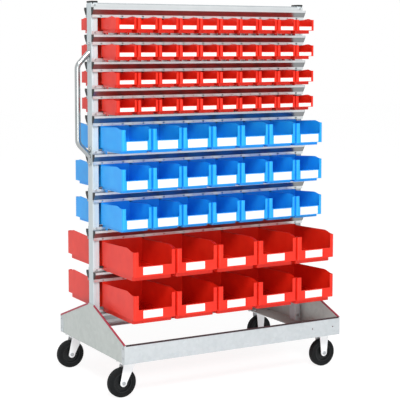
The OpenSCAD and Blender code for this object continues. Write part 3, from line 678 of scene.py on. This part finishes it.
def addDisc(name, radius, width, sides):
    deselectAll()
    bpy.ops.mesh.primitive_cylinder_add(vertices=sides, radius=radius * mm, depth=width * mm,
                                        rotation=(math.radians(90), 0, 0))
    piece = applyPlace(bpy.context.object)
    piece.name = name
    return piece


# opens the middle of both flat sides and joins the two holes with a bore
def boreThrough(piece):
    pick(piece, "FACE", lambda f: looksAlongY(f) and middle(f).xz.length < closeBy)
    bpy.ops.mesh.delete(type="FACE")
    pick(piece, "EDGE", lambda e: e.is_boundary)
    bpy.ops.mesh.bridge_edge_loops()


def modelTyre(name):
    size = wheelShape
    piece = addDisc(name, size["outer"], size["tyreWidth"], size["sides"])
    edit(piece)
    pick(piece, "FACE", looksAlongY)
    bpy.ops.mesh.inset(thickness=(size["outer"] - size["hub"] - size["hubGap"]) * mm, use_individual=True)
    boreThrough(piece)

    def onShoulder(edge):
        a, b = edge.verts[0].co, edge.verts[1].co
        outermost = near(min(a.xz.length, b.xz.length), size["outer"] * mm, mm)
        return outermost and near(a.y, b.y) and near(abs(a.y), size["tyreWidth"] / 2 * mm)

    pick(piece, "EDGE", onShoulder)
    bpy.ops.mesh.bevel(offset=size["shoulder"] * mm, segments=5, affect="EDGES")
    # a shallow moulded ring on each side wall
    pick(piece, "FACE", looksAlongY)
    bpy.ops.mesh.inset(thickness=size["ringWide"] * mm, depth=-size["ringDeep"] * mm)
    bpy.ops.object.mode_set(mode="OBJECT")
    softenEdges(piece, size["tyreEdge"] * mm, 1)
    return piece


def modelHub(name):
    size = wheelShape
    piece = addDisc(name, size["hub"], size["hubWidth"], size["sides"])
    edit(piece)
    pick(piece, "FACE", looksAlongY)
    web = size["hub"] - size["rim"] - size["rimSlope"] - size["boss"] - size["bossSlope"]
    bossRise = size["recess"] + (size["bossWidth"] - size["hubWidth"]) / 2
    rings = ((size["rim"], 0), (size["rimSlope"], -size["recess"]), (web, 0), (size["bossSlope"], bossRise),
             (size["boss"] - size["bore"], 0))
    for thick, deep in rings:
        bpy.ops.mesh.inset(thickness=thick * mm, depth=deep * mm, use_individual=True)
    boreThrough(piece)
    bpy.ops.object.mode_set(mode="OBJECT")
    softenEdges(piece, size["hubEdge"] * mm, 2)
    return piece


tyreMaster, hubMaster = modelTyre("tyreMaster"), modelHub("hubMaster")
for side in ("front", "rear"):
    for end in ("left", "right"):
        low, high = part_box(f"{side}_{end}_tyre")
        spot = Matrix.Translation((low + high) / 2)
        for part, master, finish, slot in (("tyre", tyreMaster, "tyreRubber", "tyre_rubber"),
                                           ("hub", hubMaster, "hubPlastic", "hub_plastic")):
            wheelPart = copyPiece(master, spot)
            wheelPart.name = f"{side}{end.title()}{part.title()}"
            finishPiece(wheelPart, finishes[finish], slot, f"{side}_{end}_wheel", f"{side}_{end}_{part}")
removePiece(tyreMaster)
removePiece(hubMaster)
print("wheels modelled")


# sheet, forks, trims and fasteners keep the solids' shapes, with their edges broken

brokenEdges = [                         # node, finish, slot, body, edge in mm
    ("left_end_panel", "shadedPanelSheet", "galvanised_sheet", "frame", 0.5),
    ("right_end_panel", "shadedPanelSheet", "galvanised_sheet", "frame", 0.5),
    ("front_beam", "beamSheet", "galvanised_sheet", "frame", 0.4),
    ("rear_beam", "beamSheet", "galvanised_sheet", "frame", 0.4),
    ("top_crossbeam", "beamSheet", "galvanised_sheet", "frame", 0.6),
    ("post_feet", "beamSheet", "galvanised_sheet", "frame", 0.6),
    ("panel_trims", "crimsonTrim", "crimson_trim", "frame", 0.5),
    ("beam_trims", "shadedTrim", "dark_trim", "frame", 0.5),
    ("post_caps", "capPlastic", "cap_plastic", "frame", 1.5),
    ("front_small_rails", "railSheet", "rail_steel", "frame", 0.35),
    ("front_medium_rails", "railSheet", "rail_steel", "frame", 0.35),
    ("front_large_rails", "railSheet", "rail_steel", "frame", 0.35),
    ("rear_small_rails", "railSheet", "rail_steel", "frame", 0.35),
    ("rear_medium_rails", "railSheet", "rail_steel", "frame", 0.35),
    ("rear_large_rails", "railSheet", "rail_steel", "frame", 0.35),
    ("rail_screws", "fastener", "zinc_fasteners", "frame", 0.6),
    ("corner_screws", "fastener", "zinc_fasteners", "frame", 0.6),
    ("handle_screws", "fastener", "zinc_fasteners", "frame", 0.6),
    ("foot_bolts", "fastener", "zinc_fasteners", "frame", 0.6),
    ("caster_bolts", "fastener", "zinc_fasteners", "frame", 0.6),
    ("king_pins", "fastener", "zinc_fasteners", "frame", 0.6),
    ("fixed_axles", "fastener", "zinc_fasteners", "frame", 0.6),
    ("front_swivel_axle", "fastener", "zinc_fasteners", "front_swivel", 0.6),
    ("rear_swivel_axle", "fastener", "zinc_fasteners", "rear_swivel", 0.6),
    ("front_swivel_plate", "casterSteel", "caster_steel", "frame", 1.0),
    ("rear_swivel_plate", "casterSteel", "caster_steel", "frame", 1.0),
    ("front_fixed_fork", "casterSteel", "caster_steel", "frame", 0.8),
    ("rear_fixed_fork", "casterSteel", "caster_steel", "frame", 0.8),
    ("front_swivel_fork", "casterSteel", "caster_steel", "front_swivel", 0.8),
    ("rear_swivel_fork", "casterSteel", "caster_steel", "rear_swivel", 0.8)]

trimSwell = 0.6                         # mm, the soft trims bulge a little over the edges they grip
slotShape = {                           # mm, wide ones and narrow ones in turn
    "pitch": 50, "perSide": 10, "wide": (10, 5), "high": (7.5, 5), "corner": 2.2, "below": 37,
    "out": (6, 11)}


# one body for each slot in the lips of a rail node
def modelSlots(node):
    low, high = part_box(node)
    side = 1 if low.y > 0 else -1
    lowY, highY = sorted(side * (rack["postFace"] + out) * mm for out in slotShape["out"])
    masters = []
    for wide, tall in zip(slotShape["wide"], slotShape["high"]):
        halfX, halfZ = wide / 2 * mm, tall / 2 * mm
        master = addBox("slot", (-halfX, lowY, -halfZ), (halfX, highY, halfZ))
        edit(master)
        pick(master, "EDGE", lambda e: runsAlong(e, 1))
        bpy.ops.mesh.bevel(offset=slotShape["corner"] * mm, segments=2, affect="EDGES")
        bpy.ops.object.mode_set(mode="OBJECT")
        masters.append(master)
    cutters = []
    for rim in rack["rims"]:
        z = (rim - slotShape["below"]) * mm
        if low.z < z < high.z:
            for i in range(-slotShape["perSide"], slotShape["perSide"] + 1):
                x = (rack["middleX"] + i * slotShape["pitch"]) * mm
                cutters.append(copyPiece(masters[i % 2], Matrix.Translation((x, 0, z))))
    for master in masters:
        removePiece(master)
    return joinPieces(cutters, "slots")


for node, finish, slot, body, width in brokenEdges:
    words = node.split("_")
    cutter = modelSlots(node) if node.endswith("_rails") else None
    fuller = trimSwell * mm if node.endswith("_trims") else 0
    name = words[0] + "".join(word.title() for word in words[1:])
    piece = brokenEdgeCopy(node, name, width * mm, cutter, fuller)
    finishPiece(piece, finishes[finish], slot, body, node)
print("sheet, forks and fasteners finished")


# floor, light and camera

studio = {"floor": "#FFFFFF", "floorSize": 40, "floorGlow": 0.76, "glowStrength": 1.15, "aimZ": 0.8,
          "worldLight": 0.46, "keyPower": 370, "keySize": 2.0,
          "keyAt": (-2.4, -5.3, 5.6), "fillPower": 84, "fillSize": 3.0, "fillAt": (-2.8, -5.5, 0.9)}
view = {"at": (-2618.34, -4693.83, 1463.43), "yaw": 29.432, "pitch": -5.069,    # mm, degrees
        "lens": 107.5525, "sensor": 36, "shiftY": -0.12, "farthest": 100}


# 1 where the camera, a reflection or a see-through piece looks straight at the backdrop
def showsWhite(tree):
    path = addNode(tree, "ShaderNodeLightPath")
    seen = path.outputs["Is Camera Ray"]
    for ray in ("Is Glossy Ray", "Is Transmission Ray"):
        either = addNode(tree, "ShaderNodeMath", None, {0: seen, 1: path.outputs[ray]}, operation="MAXIMUM")
        seen = either.outputs[0]
    return seen


deselectAll()
bpy.ops.mesh.primitive_plane_add(size=studio["floorSize"])
floor = bpy.context.object
floor.name = "studioFloor"
white = toLinear(studio["floor"])
paper, tree, shader, place = startMaterial("whiteBackdropPaper", {"Base Color": white, "Roughness": 0.9})
share = addNode(tree, "ShaderNodeMath", {1: studio["floorGlow"]}, {0: showsWhite(tree)},
                operation="MULTIPLY")
glow = addNode(tree, "ShaderNodeEmission", {"Color": white, "Strength": studio["glowStrength"]})
pickShader = addNode(tree, "ShaderNodeMixShader", None,
                     {"Fac": share.outputs[0], 1: shader.outputs[0], 2: glow.outputs[0]})
tree.links.new(pickShader.outputs[0], tree.nodes["Material Output"].inputs["Surface"])
floor.data.materials.append(paper)

world = bpy.data.worlds.new("studioWorld")
bpy.context.scene.world = world
world.use_nodes = True
tree = world.node_tree
tree.nodes.clear()
soft = addNode(tree, "ShaderNodeBackground", {"Color": white, "Strength": studio["worldLight"]})
bright = addNode(tree, "ShaderNodeBackground", {"Color": white, "Strength": 1.0})
blendWorld = addNode(tree, "ShaderNodeMixShader", None,
                     {"Fac": showsWhite(tree), 1: soft.outputs[0], 2: bright.outputs[0]})
addNode(tree, "ShaderNodeOutputWorld", None, {"Surface": blendWorld.outputs[0]})

target = Vector((0, 0, studio["aimZ"]))
for name in ("key", "fill"):
    deselectAll()
    bpy.ops.object.light_add(type="AREA", location=studio[name + "At"])
    lamp = bpy.context.object
    lamp.name = name + "Softbox"
    lamp.data.energy = studio[name + "Power"]
    lamp.data.size = studio[name + "Size"]
    lamp.rotation_euler = (target - lamp.location).to_track_quat("-Z", "Y").to_euler()

deselectAll()
bpy.ops.object.camera_add(location=[value * mm for value in view["at"]],
                          rotation=(math.radians(90 + view["pitch"]), 0, math.radians(-view["yaw"])))
camera = bpy.context.object
camera.data.lens = view["lens"]
camera.data.sensor_width = view["sensor"]
camera.data.shift_y = view["shiftY"]
camera.data.clip_end = view["farthest"]
bpy.context.scene.camera = camera
bpy.context.scene.view_settings.view_transform = "Standard"
print("studio set")
